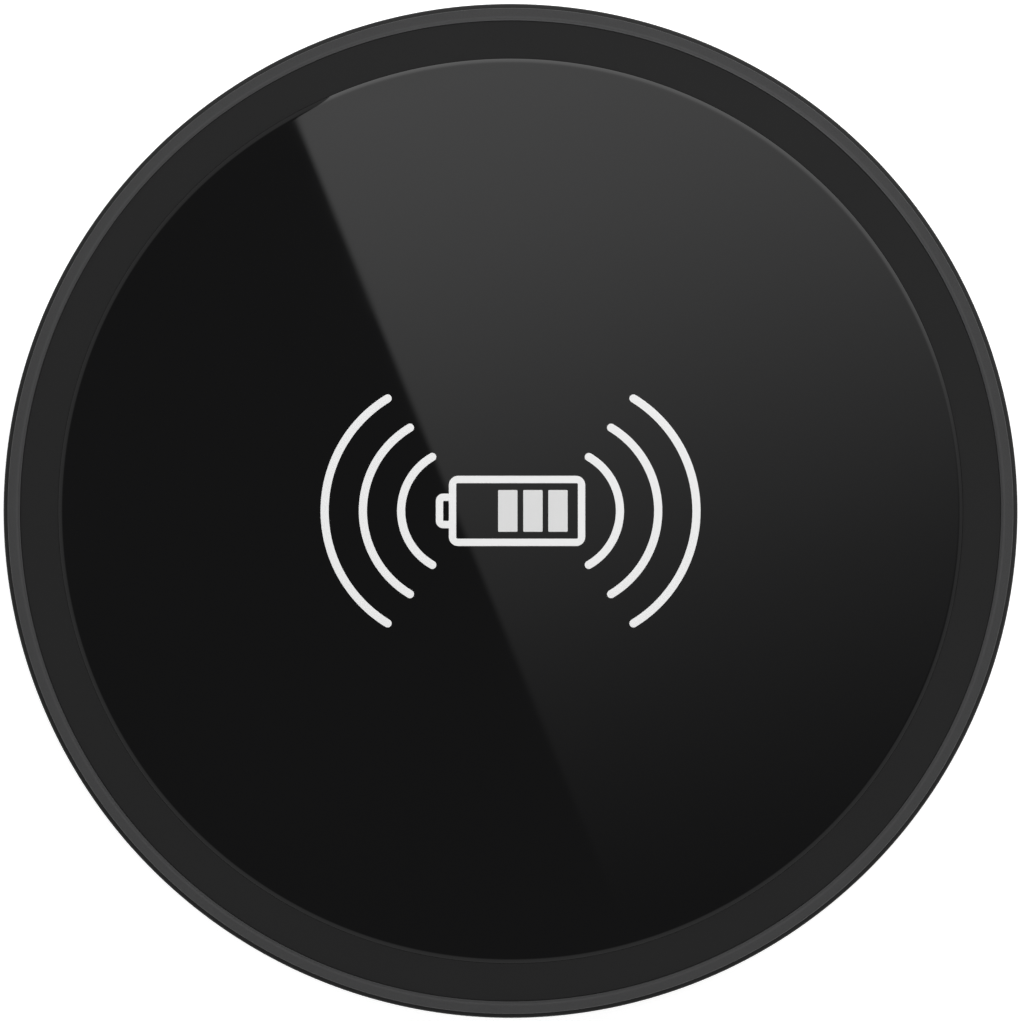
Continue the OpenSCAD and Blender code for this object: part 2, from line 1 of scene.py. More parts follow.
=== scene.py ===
"""Looks, light and camera for the wireless charging pad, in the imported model's own frame."""

import json
import math

import bmesh
import bpy
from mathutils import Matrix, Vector


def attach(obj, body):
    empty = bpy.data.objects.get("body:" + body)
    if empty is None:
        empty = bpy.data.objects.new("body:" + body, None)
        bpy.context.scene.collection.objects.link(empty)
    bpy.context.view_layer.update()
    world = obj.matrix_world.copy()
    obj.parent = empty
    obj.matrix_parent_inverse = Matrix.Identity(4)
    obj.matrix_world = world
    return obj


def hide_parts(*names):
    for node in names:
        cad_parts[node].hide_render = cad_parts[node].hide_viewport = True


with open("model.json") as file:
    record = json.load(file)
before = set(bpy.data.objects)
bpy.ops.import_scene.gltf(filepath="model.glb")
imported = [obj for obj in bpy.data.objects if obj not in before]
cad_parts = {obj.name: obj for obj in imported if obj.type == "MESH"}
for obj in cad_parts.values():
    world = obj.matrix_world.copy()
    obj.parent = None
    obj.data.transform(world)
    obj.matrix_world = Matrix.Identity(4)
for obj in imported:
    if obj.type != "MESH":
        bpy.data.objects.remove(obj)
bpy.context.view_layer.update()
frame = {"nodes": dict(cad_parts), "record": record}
nodes = frame["nodes"]
scene = bpy.context.scene

MM = 0.001
ROUND = 512

# Sizes shared with the CAD model, in millimetres
CASE_R, PAD_H = 50.0, 10.0
GLASS_R, GLASS_TOP, GLASS_T = 44.45, 9.98, 1.1
BEZEL_Z, TRIM_TOP, SHOULDER_Z = 9.86, 9.94, 8.18
WEB_Z, SEAT_Z = 7.93, 8.73
BOARD_Z, BOARD_TOP = 3.2, 4.2
USB_Z, USB_FRONT = 5.2, 49.25
SCREW_R, SCREW_ANGLES = 40.5, (45, 135, 225, 315)
POST_R, POST_ANGLES = 38.0, (20, 160, 250)
RIB_W, RIB_ANGLES = 0.8, range(15, 360, 30)


# ---------------------------------------------------------------- node trees


class Tree:
    """A short way to build a node tree. A value is a number, a colour or another node's output."""

    def __init__(self, owner, empty=False):
        owner.use_nodes = True
        self.tree = owner.node_tree
        if empty:
            self.tree.nodes.clear()

    def add(self, kind, **settings):
        made = self.tree.nodes.new(kind)
        for key, value in settings.items():
            setattr(made, key, value)
        return made

    def link(self, source, target):
        self.tree.links.new(source, target)

    def feed(self, socket, value):
        if hasattr(value, "links"):
            self.link(value, socket)
        else:
            socket.default_value = value

    def shader(self, kind, **values):
        """A shader's output. An underscore in a socket's name stands for a space."""
        made = self.add(kind)
        for key, value in values.items():
            self.feed(made.inputs[key.replace("_", " ")], value)
        return made.outputs[0]

    def maths(self, operation, *values):
        made = self.add("ShaderNodeMath", operation=operation)
        for socket, value in zip(made.inputs, values):
            self.feed(socket, value)
        return made.outputs[0]

    def dot(self, source, direction):
        made = self.add("ShaderNodeVectorMath", operation="DOT_PRODUCT")
        self.link(source, made.inputs[0])
        made.inputs[1].default_value = direction
        return made.outputs["Value"]

    def length(self, source):
        made = self.add("ShaderNodeVectorMath", operation="LENGTH")
        self.link(source, made.inputs[0])
        return made.outputs["Value"]

    def spread(self, source, low, high, start=0.3, end=0.7):
        """A value mapped from start..end to low..high."""
        made = self.add("ShaderNodeMapRange")
        self.link(source, made.inputs["Value"])
        made.inputs["From Min"].default_value = start
        made.inputs["From Max"].default_value = end
        made.inputs["To Min"].default_value = low
        made.inputs["To Max"].default_value = high
        return made.outputs["Result"]


class Nodes(Tree):
    """One piece's material, with the textures that its look needs."""

    def __init__(self, name):
        self.material = bpy.data.materials.new(name)
        super().__init__(self.material)
        self.surface = self.tree.nodes["Principled BSDF"]
        self.place = self.add("ShaderNodeTexCoord").outputs["Object"]

    def noise(self, scale, detail=3.0, roughness=0.5, place=None):
        made = self.add("ShaderNodeTexNoise")
        self.link(place or self.place, made.inputs["Vector"])
        made.inputs["Scale"].default_value = scale
        made.inputs["Detail"].default_value = detail
        made.inputs["Roughness"].default_value = roughness
        return made.outputs["Fac"]

    def cells(self, scale):
        """Distance to the nearest of many scattered points."""
        made = self.add("ShaderNodeTexVoronoi")
        self.link(self.place, made.inputs["Vector"])
        made.inputs["Scale"].default_value = scale
        return made.outputs["Distance"]

    def mix(self, factor, first, second):
        made = self.add("ShaderNodeMix", data_type="RGBA")
        self.link(factor, made.inputs["Factor"])
        for socket, value in ((made.inputs[6], first), (made.inputs[7], second)):
            self.feed(socket, (*value, 1) if isinstance(value, tuple) else value)
        return made.outputs[2]

    def stretched(self, x, y, z):
        """The object's coordinates scaled along each axis."""
        made = self.add("ShaderNodeVectorMath", operation="MULTIPLY")
        self.link(self.place, made.inputs[0])
        made.inputs[1].default_value = (x, y, z)
        return made.outputs[0]

    def axes(self):
        made = self.add("ShaderNodeSeparateXYZ")
        self.link(self.place, made.inputs[0])
        return made.outputs

    def bump(self, height, strength, distance, below=None):
        """Relief of the surface. Distance is in metres."""
        made = self.add("ShaderNodeBump")
        made.inputs["Strength"].default_value = strength
        made.inputs["Distance"].default_value = distance
        self.link(height, made.inputs["Height"])
        if below is not None:
            self.link(below, made.inputs["Normal"])
        return made.outputs["Normal"]

    def set(self, **values):
        for key, value in values.items():
            self.feed(self.surface.inputs[key.replace("_", " ")], value)
        return self.material


# ---------------------------------------------------------------- materials


def shade(colour, factor):
    return tuple(c * factor for c in colour)


def plain(name, colour, rough, grain, depth):
    """A finish with fine grain, slow patches of colour and uneven roughness."""
    vary = 0.12
    n = Nodes(name)
    fine = n.noise(grain, 2.0)
    slow = n.noise(300.0)
    both = n.mix(slow, shade(colour, 1 - vary), shade(colour, 1 + vary))
    colour_out = n.mix(n.spread(fine, 0.0, 0.5), both, shade(colour, 1 + 2 * vary))
    return n.set(
        Base_Color=colour_out,
        Roughness=n.spread(slow, rough * 0.92, min(1.0, rough * 1.08)),
        Normal=n.bump(fine, 0.35, depth * MM),
    )


def black_glass():
    """Polished glass, black from the paint behind it, with a barely uneven polish."""
    n = Nodes("black_glass")
    slow = n.noise(60.0, 4.0, 0.6)
    colour = n.mix(slow, (0.0022, 0.0022, 0.0023), (0.0028, 0.0028, 0.003))
    return n.set(Base_Color=colour, Roughness=n.spread(slow, 0.012, 0.03), IOR=1.5)


def bead_blasted():
    """Fine blasted pits all over, and a crest painted lighter, a painted highlight, with a slightly
    lower roughness.
    """
    # The last number is how strongly the crest is painted lighter: a painted highlight
    crest_low, crest_high, crest_highlight = TRIM_TOP - 0.34, TRIM_TOP - 0.2, 0.8
    n = Nodes("anodised_trim")
    grain = n.noise(7000.0, 2.0, 0.6)
    slow = n.noise(140.0)
    crest = n.spread(n.axes()["Z"], 0.0, 1.0, crest_low * MM, crest_high * MM)
    base = n.mix(slow, (0.0265, 0.0265, 0.027), (0.03, 0.03, 0.0305))
    colour = n.mix(n.spread(grain, 0.0, 0.6), base, (0.0395, 0.0395, 0.0403))
    first = n.bump(grain, 0.35, 0.006 * MM)
    return n.set(
        # The crest band is painted lighter towards (0.046, 0.046, 0.0468): a painted highlight
        Base_Color=n.mix(n.maths("MULTIPLY", crest, crest_highlight), colour, (0.046, 0.046, 0.0468)),
        Metallic=0.6,
        Specular_IOR_Level=0.2,
        Roughness=n.maths("SUBTRACT", n.spread(slow, 0.36, 0.41), n.maths("MULTIPLY", crest, 0.05)),
        Normal=n.bump(n.cells(5200.0), 0.2, 0.006 * MM, first),
    )


def moulded(name, colour, rough, grain, depth, shine):
    """Matte moulded plastic: a fine spark-eroded texture."""
    n = Nodes(name)
    fine = n.noise(grain, 3.0, 0.6)
    slow = n.noise(90.0)
    base = n.mix(slow, shade(colour, 0.94), shade(colour, 1.06))
    return n.set(
        Base_Color=n.mix(n.spread(fine, 0.0, 0.4), base, shade(colour, 1.35)),
        Roughness=n.spread(fine, rough - 0.04, rough + 0.05),
        Normal=n.bump(fine, 0.4, depth * MM),
        IOR=1.46,
        Specular_IOR_Level=shine,
    )


def printed(name, colour):
    """Screen-printed ink, with the faint weave of the screen."""
    n = Nodes(name)
    mesh = n.noise(9000.0, 2.0)
    slow = n.noise(700.0, 2.0)
    return n.set(
        Base_Color=n.mix(slow, shade(colour, 0.975), colour),
        Roughness=n.spread(mesh, 0.42, 0.55),
        Normal=n.bump(mesh, 0.2, 0.002 * MM),
    )


def plated(name, colour, rough, along=(1, 1, 1), streak=900.0, stain=0.15):
    """Metal with fine drawing lines, dull patches and a slightly darker tarnish."""
    n = Nodes(name)
    lines = n.noise(streak, 4.0, 0.6, n.stretched(*along))
    dull = n.noise(260.0, 4.0, 0.6)
    tarnish = n.mix(n.spread(dull, 0.0, 1.0, 0.4, 0.75), colour, shade(colour, 1 - stain))
    return n.set(
        Base_Color=n.mix(n.spread(lines, 0.0, 0.35), tarnish, shade(colour, 0.8)),
        Metallic=1.0,
        Roughness=n.spread(dull, rough, rough + 0.12),
        Normal=n.bump(lines, 0.25, 0.004 * MM),
    )


def solder_mask():
    """Green mask over raised copper tracks, with tinned vias. The tracks run two ways, by zone."""
    track_w, via_spacing, via_r = 0.12, 310.0, 0.085
    layouts = ((0.0, 13.0, 0.85), (math.pi / 2, 9.0, 1.1))
    n = Nodes("board")
    tracks = []
    for turn, width, row in layouts:
        spin = n.add("ShaderNodeVectorRotate", rotation_type="Z_AXIS")
        n.link(n.place, spin.inputs["Vector"])
        spin.inputs["Angle"].default_value = turn
        bricks = n.add("ShaderNodeTexBrick", offset=0.37)
        n.link(spin.outputs[0], bricks.inputs["Vector"])
        settings = {"Scale": 1 / MM, "Brick Width": width, "Row Height": row, "Mortar Size": track_w}
        for key, value in settings.items():
            bricks.inputs[key].default_value = value
        tracks.append(bricks.outputs["Fac"])
    zone = n.spread(n.noise(110.0, 0.0), 0.0, 1.0, 0.495, 0.505)
    first = n.maths("MULTIPLY", tracks[0], zone)
    second = n.maths("MULTIPLY", tracks[1], n.maths("SUBTRACT", 1.0, zone))
    track = n.maths("ADD", first, second)
    via = n.maths("LESS_THAN", n.cells(via_spacing), via_r)
    weave = n.noise(900.0, 2.0, 0.5, n.stretched(1, 6, 1))
    mask = n.mix(weave, (0.005, 0.042, 0.017), (0.007, 0.056, 0.023))
    covered = n.mix(track, mask, (0.01, 0.082, 0.033))
    return n.set(
        Base_Color=n.mix(via, covered, (0.55, 0.54, 0.5)),
        Metallic=via,
        Roughness=n.spread(weave, 0.26, 0.36),
        Normal=n.bump(n.maths("ADD", track, via), 0.6, 0.03 * MM),
    )


def stranded_copper():
    """Lacquered strands that twist round the turns of the coil, with painted shade in the grooves
    between them.
    """
    # Waves in one turn of the coil, and the phase that each metre from the centre adds
    strands, lay = 430.0, 2 * math.pi / (0.55 * MM)
    n = Nodes("litz")
    x, y, _ = n.axes()
    flat = n.length(n.stretched(1, 1, 0))
    along = n.maths("MULTIPLY", n.maths("ARCTAN2", y, x), strands)
    twist = n.maths("SINE", n.maths("ADD", along, n.maths("MULTIPLY", flat, lay)))
    height = n.spread(twist, 0.0, 1.0, -1.0, 1.0)
    lacquer = n.mix(n.noise(1400.0), (0.52, 0.2, 0.075), (0.68, 0.3, 0.12))
    # The low parts of the twist, the grooves between strands, are painted dark towards (0.14, 0.045,
    # 0.015): painted shade
    return n.set(
        Base_Color=n.mix(n.spread(height, 0.75, 0.0, 0.0, 0.6), lacquer, (0.14, 0.045, 0.015)),
        Metallic=0.9,
        Roughness=n.spread(height, 0.42, 0.26, 0.0, 1.0),
        Normal=n.bump(height, 0.8, 0.04 * MM),
    )


def sintered(name, colour, rough, grain, depth):
    """Pressed powder: close pores and a few pale grains."""
    n = Nodes(name)
    pores = n.cells(grain)
    pale = n.maths("LESS_THAN", n.cells(grain * 0.37), 0.12)
    body = n.mix(n.noise(180.0, 4.0, 0.6), shade(colour, 0.85), shade(colour, 1.2))
    dark = n.mix(n.spread(pores, 0.0, 0.5, 0.25, 0.7), body, shade(colour, 0.55))
    return n.set(
        Base_Color=n.mix(n.maths("MULTIPLY", pale, 0.5), dark, shade(colour, 2.6)),
        Roughness=n.spread(pores, rough - 0.08, rough + 0.08, 0.1, 0.8),
        Normal=n.bump(pores, 0.5, depth * MM),
    )


# The finishes by their slot's name. The numbers after a colour are the roughness, the grain per
# metre and the grain's depth in millimetres. Metals have their drawing direction instead.
M = {
    "black_glass": black_glass(),
    "white_ink": printed("white_ink", (0.776, 0.776, 0.776)),
    "grey_ink": printed("grey_ink", (0.65, 0.65, 0.65)),
    "adhesive": plain("adhesive", (0.7, 0.69, 0.64), 0.5, 1500, 0.01),
    "bezel": moulded("bezel", (0.0122, 0.0122, 0.0123), 0.6, 6000.0, 0.004, 0.12),
    "anodised_trim": bead_blasted(),
    "case": moulded("case", (0.0115, 0.0115, 0.0115), 0.48, 3600.0, 0.03, 0.35),
    "foot": moulded("foot", (0.017, 0.017, 0.0172), 0.72, 5200.0, 0.02, 0.3),
    "label": plain("label", (0.016, 0.016, 0.016), 0.45, 5000, 0.003),
    "black_steel": plated("black_steel", (0.06, 0.06, 0.062), 0.34),
    "light_pipe": plain("light_pipe", (0.38, 0.38, 0.375), 0.4, 3000, 0.004),
    "board": solder_mask(),
    "zinc_steel": plated("zinc_steel", (0.55, 0.55, 0.57), 0.26),
    "usb_steel": plated("usb_steel", (0.52, 0.52, 0.52), 0.24, (1, 0.06, 1), 1600.0),
    "usb_plastic": plain("usb_plastic", (0.012, 0.012, 0.012), 0.5, 4000, 0.004),
    "gold": plated("gold", (0.78, 0.52, 0.19), 0.2, (1, 0.1, 1), 2400.0, 0.08),
    "chip_epoxy": sintered("chip_epoxy", (0.019, 0.019, 0.02), 0.56, 9000.0, 0.004),
    "film_capacitor": plain("film_capacitor", (0.3, 0.2, 0.12), 0.5, 3000, 0.01),
    "ferrite": sintered("ferrite", (0.042, 0.042, 0.045), 0.6, 3600.0, 0.012),
    "copper": plated("copper", (0.58, 0.23, 0.09), 0.24, streak=1400.0),
    "litz": stranded_copper(),
    "resistor": plain("resistor", (0.02, 0.02, 0.02), 0.35, 4000, 0.004),
    "crystal_can": plated("crystal_can", (0.6, 0.6, 0.61), 0.22, (0.1, 1, 1), 2200.0),
    "led": plain("led", (0.75, 0.74, 0.62), 0.35, 3000, 0.003),
    "amber_film": plain("amber_film", (0.5, 0.2, 0.02), 0.25, 1500, 0.003),
    "gap_pad": plain("gap_pad", (0.3, 0.36, 0.42), 0.7, 2500, 0.02),
    "bead": plain("bead", (0.05, 0.03, 0.02), 0.25, 2500, 0.01),
    "solder": plated("solder", (0.62, 0.62, 0.65), 0.2, streak=1800.0, stain=0.25),
}


# ---------------------------------------------------------------- mesh tools


def finish_piece(obj, slot, sharp, replaces=()):
    """Shading, finish and body of one finished piece, with the CAD nodes it replaces hidden."""
    mesh = obj.data
    mesh.materials.clear()
    mesh.materials.append(M[slot])
    mesh.shade_smooth()
    mesh.set_sharp_from_angle(angle=math.radians(sharp))
    weighted = obj.modifiers.new("even_normals", "WEIGHTED_NORMAL")
    weighted.keep_sharp = True
    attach(obj, "root")
    if replaces:
        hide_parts(*replaces)
    return obj


def new_object(name, bm):
    """An object from a mesh under construction, whose faces all look outwards."""
    bmesh.ops.remove_doubles(bm, verts=bm.verts, dist=1e-7)
    bmesh.ops.recalc_face_normals(bm, faces=bm.faces)
    mesh = bpy.data.meshes.new(name)
    bm.to_mesh(mesh)
    bm.free()
    obj = bpy.data.objects.new(name, mesh)
    scene.collection.objects.link(obj)
    return obj


def arc(cx, cz, radius, start, end, steps):
    """Points of a profile's arc, angles in degrees from +r towards +z."""
    return [
        (cx + radius * math.cos(math.radians(a)), cz + radius * math.sin(math.radians(a)))
        for a in (start + (end - start) * i / steps for i in range(steps + 1))
    ]


def lathe(name, profile):
    """A closed profile of (radius, height) in millimetres, turned round the Z axis."""
    bm = bmesh.new()
    rings = []
    for r, z in profile:
        if r < 1e-6:
            rings.append([bm.verts.new((0, 0, z * MM))])
        else:
            turn = (2 * math.pi * k / ROUND for k in range(ROUND))
            spots = ((r * math.cos(a) * MM, r * math.sin(a) * MM, z * MM) for a in turn)
            rings.append([bm.verts.new(spot) for spot in spots])
    closed = profile[0][0] > 1e-6
    pairs = list(zip(rings, rings[1:] + rings[:1])) if closed else list(zip(rings, rings[1:]))
    for one, two in pairs:
        for k in range(ROUND):
            j = (k + 1) % ROUND
            if len(one) == 1 and len(two) == 1:
                continue
            if len(one) == 1:
                bm.faces.new((one[0], two[j], two[k]))
            elif len(two) == 1:
                bm.faces.new((one[k], one[j], two[0]))
            else:
                bm.faces.new((one[k], one[j], two[j], two[k]))
    return new_object(name, bm)


def prism(bm, outline, z0, z1):
    """A straight solid on an outline of (x, y) points in millimetres."""
    low = [bm.verts.new((x * MM, y * MM, z0 * MM)) for x, y in outline]
    high = [bm.verts.new((x * MM, y * MM, z1 * MM)) for x, y in outline]
    bm.faces.new(list(reversed(low)))
    bm.faces.new(high)
    for i in range(len(outline)):
        j = (i + 1) % len(outline)
        bm.faces.new((low[i], low[j], high[j], high[i]))


def circle(x, y, radius, steps):
    turn = (2 * math.pi * k / steps for k in range(steps))
    return [(x + radius * math.cos(a), y + radius * math.sin(a)) for a in turn]


def turned(points, angle):
    """Points turned about the origin, by an angle in degrees."""
    a = math.radians(angle)
    return [(x * math.cos(a) - y * math.sin(a), x * math.sin(a) + y * math.cos(a)) for x, y in points]


def bar(x0, x1, width):
    """Outline of a straight bar along the X axis."""
    return [(x0, -width / 2), (x1, -width / 2), (x1, width / 2), (x0, width / 2)]


def stadium(width, height):
    """Outline of a slot with round ends, in its own plane."""
    steps = 16
    r = height / 2
    c = width / 2 - r
    turn = (math.pi * (k / steps - 0.5) for k in range(steps + 1))
    right = [(c + r * math.cos(a), r * math.sin(a)) for a in turn]
    return right + [(-x, -z) for x, z in right]


def slot_loft(bm, sections, z):
    """A solid through slot outlines: sections are (y, width, height)."""
    rings = []
    for y, width, height in sections:
        rings.append([bm.verts.new((x * MM, y * MM, (z + h) * MM)) for x, h in stadium(width, height)])
    bm.faces.new(rings[0])
    bm.faces.new(list(reversed(rings[-1])))
    for one, two in zip(rings, rings[1:]):
        for i in range(len(one)):
            j = (i + 1) % len(one)
            bm.faces.new((one[j], one[i], two[i], two[j]))


def combine(obj, operation, build):
    """Adds or cuts, in place, the solids that build draws."""
    bm = bmesh.new()
    build(bm)
    tool = new_object("tool", bm)
    modifier = obj.modifiers.new("boolean", "BOOLEAN")
    modifier.operation = operation
    modifier.solver = "EXACT"
    modifier.object = tool
    bpy.context.view_layer.update()
    graph = bpy.context.evaluated_depsgraph_get()
    mesh = bpy.data.meshes.new_from_object(obj.evaluated_get(graph))
    obj.modifiers.clear()
    old, obj.data = obj.data, mesh
    bpy.data.meshes.remove(old)
    bpy.data.objects.remove(tool)
    return obj


def pegs(bm, radius, angles, size, z0, z1, steps=48):
    """Upright cylinders round the pad, all at one distance from its centre."""
    for a in angles:
        x, y = turned([(radius, 0)], a)[0]
        prism(bm, circle(x, y, size, steps), z0, z1)


def spokes(bm, angles, start, end, z0, z1):
    """Ribs that point at the pad's centre."""
    for a in angles:
        prism(bm, turned(bar(start, end, RIB_W), a), z0, z1)


# ---------------------------------------------------------------- top of the pad


def make_glass():
    """The disc: a flat face whose polished edge falls away in a shallow curve, then the ground side."""
    edge_w, edge_drop, steps = 0.5, 0.09, 14
    bottom, chamfer = GLASS_TOP - GLASS_T, 0.15
    profile = [(0, bottom), (GLASS_R - chamfer, bottom), (GLASS_R, bottom + chamfer)]
    for t in (k / steps for k in range(steps + 1)):
        profile.append((GLASS_R - edge_w * t, GLASS_TOP - edge_drop * (1 - t) ** 2))
    profile += [(GLASS_R - edge_w - 0.1, GLASS_TOP), (20, GLASS_TOP), (0, GLASS_TOP)]
    return finish_piece(lathe("glass", profile), "black_glass", 40, ["glass_panel"])


def make_trim():
    """The metal ring: a crest that rolls over into a chamfer, a short wall and a hidden foot."""
    inner, outer = 48.2, 49.52
    foot, foot_top, foot_in = SHOULDER_Z + 0.02, SHOULDER_Z + 0.65, 46.98
    corner, wall_corner, crest_edge = 0.05, 0.06, 0.02
    slope, crest_slope, roll = 41, 27, 1.9
    roll_r = inner + crest_edge - roll * math.sin(math.radians(crest_slope))
    roll_z = TRIM_TOP - roll * math.cos(math.radians(crest_slope))
    crest = arc(roll_r, roll_z, roll, 90 - slope, 90 - crest_slope, 8)
    # The chamfer runs on from the crest at its slope, down to the top of the wall
    shelf = outer - 0.08
    low = crest[0][1] - (shelf - crest[0][0]) * math.tan(math.radians(slope))
    profile = [(foot_in, foot + corner), (foot_in + corner, foot)]
    profile += [(outer - wall_corner, foot), (outer, foot + wall_corner)]
    profile += [(outer, low - 0.12), (outer - 0.02, low - 0.05), (shelf, low)]
    profile += crest
    profile += [(inner, TRIM_TOP - crest_edge), (inner, foot_top)]
    profile += [(foot_in + corner, foot_top), (foot_in, foot_top - corner)]
    return finish_piece(lathe("trim", profile), "anodised_trim", 40, ["trim_ring"])


def make_bezel():
    """The bezel, and under its web the hub, the skirt, the screw bosses and the ribs."""
    seat, bezel_r, ledge = GLASS_R + 0.02, 48.18, SHOULDER_Z + 0.67
    outer_round, seat_round = 0.04, 0.03
    hub_in, hub_out, hub_foot = 23.8, 24.8, 5.95
    skirt, skirt_t, skirt_foot, chamfer = CASE_R - 3.1, 1.4, WEB_Z - 2, 0.1
    boss_r, boss_foot, boss_top = 2.5, BOARD_Z + 0.05, WEB_Z + 0.3
    pilot_r, pilot_foot, pilot_top = 1.0, BOARD_Z, BOARD_Z + 4.25
    rib_start, rib_end, rib_top = 24.3, 45.8, WEB_Z + 0.25
    rib_foot, boss_rib_foot = rib_top - 0.8, BOARD_TOP + 0.8
    port_w, port_h, port_rear, port_front = 10.94, 3.96, 40, 50
    notch, notch_turn, notch_foot, notch_top = (21.35, 23.75, 4, 16), -8, 5.0, 7.2
    profile = [(0, WEB_Z), (hub_in, WEB_Z), (hub_in, hub_foot), (hub_out, hub_foot), (hub_out, WEB_Z)]
    profile += [(skirt - skirt_t, WEB_Z), (skirt - skirt_t, skirt_foot)]
    profile += [(skirt - chamfer, skirt_foot), (skirt, skirt_foot + chamfer)]
    profile += [(skirt, ledge), (bezel_r, ledge)]
    profile += arc(bezel_r - outer_round, BEZEL_Z - outer_round, outer_round, 0, 90, 5)
    profile += [(bezel_r - 0.08, BEZEL_Z), (44.9, BEZEL_Z)]
    profile += arc(seat + seat_round, BEZEL_Z - seat_round, seat_round, 90, 180, 6)
    profile += [(seat, SEAT_Z), (0, SEAT_Z)]
    obj = lathe("bezel", profile)

    def bosses(bm):
        pegs(bm, SCREW_R, SCREW_ANGLES, boss_r, boss_foot, boss_top)

    def ribs(bm):
        spokes(bm, SCREW_ANGLES, SCREW_R + 1, rib_end, boss_rib_foot, rib_top)
        for a in RIB_ANGLES:
            end = SCREW_R if a in SCREW_ANGLES else rib_end
            spokes(bm, [a], rib_start, end, rib_foot, rib_top)

    def holes(bm):
        pegs(bm, SCREW_R, SCREW_ANGLES, pilot_r, pilot_foot, pilot_top, 32)
        slot_loft(bm, [(port_rear, port_w, port_h), (port_front, port_w, port_h)], USB_Z)
        x0, x1, y0, y1 = notch
        corners = [(x0, y0), (x1, y0), (x1, y1), (x0, y1)]
        prism(bm, turned(corners, notch_turn), notch_foot, notch_top)

    combine(obj, "UNION", bosses)
    combine(obj, "UNION", ribs)
    combine(obj, "DIFFERENCE", holes)
    return finish_piece(obj, "bezel", 32, ["top_shell"])


def ink_piece(name, slot, outlines, replaces):
    """Flat printed shapes: each outline is a closed loop, with holes as further loops."""
    ink_t, rounding = PAD_H - GLASS_TOP, 0.2
    half = ink_t / 2
    curve = bpy.data.curves.new(name, "CURVE")
    curve.dimensions = "2D"
    curve.fill_mode = "BOTH"
    curve.extrude = half * MM * (1 - rounding)
    curve.bevel_depth = half * MM * rounding
    curve.offset = -half * MM * rounding
    for loop in outlines:
        spline = curve.splines.new("POLY")
        spline.points.add(len(loop) - 1)
        for p, (x, y) in zip(spline.points, loop):
            p.co = (x * MM, y * MM, 0, 1)
        spline.use_cyclic_u = True
    made = bpy.data.objects.new(name, curve)
    scene.collection.objects.link(made)
    bpy.context.view_layer.update()
    graph = bpy.context.evaluated_depsgraph_get()
    mesh = bpy.data.meshes.new_from_object(made.evaluated_get(graph))
    bpy.data.objects.remove(made)
    bm = bmesh.new()
    bm.from_mesh(mesh)
    bpy.data.meshes.remove(mesh)
    bmesh.ops.translate(bm, verts=bm.verts, vec=(0, 0, (GLASS_TOP + half) * MM))
    return finish_piece(new_object(name, bm), slot, 40, replaces)


def rounded_box(x0, x1, y0, y1, r, steps):
    """Outline of a rectangle with round corners."""
    corners = ((x1 - r, y1 - r), (x0 + r, y1 - r), (x0 + r, y0 + r), (x1 - r, y0 + r))
    points = []
    for quarter, (cx, cy) in enumerate(corners):
        points += arc(cx, cy, r, 90 * quarter, 90 * quarter + 90, steps)
    return points


def arc_band(centre, radius, half, line, side):
    """A band along an arc of half degrees each way, with round ends, on one side of the battery."""
    outer = arc(0, 0, radius + line / 2, -half, half, 48)
    tip = Vector((math.cos(math.radians(half)), math.sin(math.radians(half)))) * radius
    cap = arc(tip.x, tip.y, line / 2, half, half + 180, 12)[1:-1]
    inner = arc(0, 0, radius - line / 2, half, -half, 48)
    tail = arc(tip.x, -tip.y, line / 2, 180 - half, 360 - half, 12)[1:-1]
    return [(side * (centre + x), y) for x, y in outer + cap + inner + tail]


def make_symbol():
    """The printed symbol: a battery with its terminal and three bars, and arcs on both sides."""
    # Each arc is its centre's x, its radius and half its angle
    arc_line, arc_sizes = 0.8, ((4.63, 6.12, 60.0), (4.97, 9.54, 59.0), (5.31, 12.96, 58.5))
    arcs = []
    for centre, radius, half in arc_sizes:
        for side in (1, -1):
            arcs.append(arc_band(centre, radius, half, arc_line, side))
    ink_piece("arcs", "white_ink", arcs, ["signal_arcs"])

    x0, x1, tall, corner, line = -6.06, 7.34, 3.45, 0.9, 0.72
    left, nub, hole_corner, small_corner = x0 - 1.28, 1.7, 0.12, 0.08
    outline = arc(x1 - corner, tall - corner, corner, 0, 90, 8)
    outline += arc(x0 + corner, tall - corner, corner, 90, 180, 8)
    outline += [(x0, nub)] + arc(left + line, nub - line, line, 90, 180, 6)
    outline += arc(left + line, line - nub, line, 180, 270, 6) + [(x0, -nub)]
    outline += arc(x0 + corner, corner - tall, corner, 180, 270, 8)
    outline += arc(x1 - corner, corner - tall, corner, 270, 360, 8)
    body_hole = rounded_box(x0 + line, x1 - line, line - tall, tall - line, hole_corner, 4)
    nub_hole = rounded_box(left + line, x0, line - nub, nub - line, small_corner, 4)
    ink_piece("battery", "white_ink", [outline, body_hole, nub_hole], ["battery_outline"])

    bar_half, bar_tall, bar_xs = 0.95, 2.05, (-0.27, 2.2, 4.66)
    bars = [
        rounded_box(x - bar_half, x + bar_half, -bar_tall, bar_tall, small_corner, 4) for x in bar_xs
    ]
    ink_piece("bars", "grey_ink", bars, ["charge_bars"])


# ---------------------------------------------------------------- case and foot


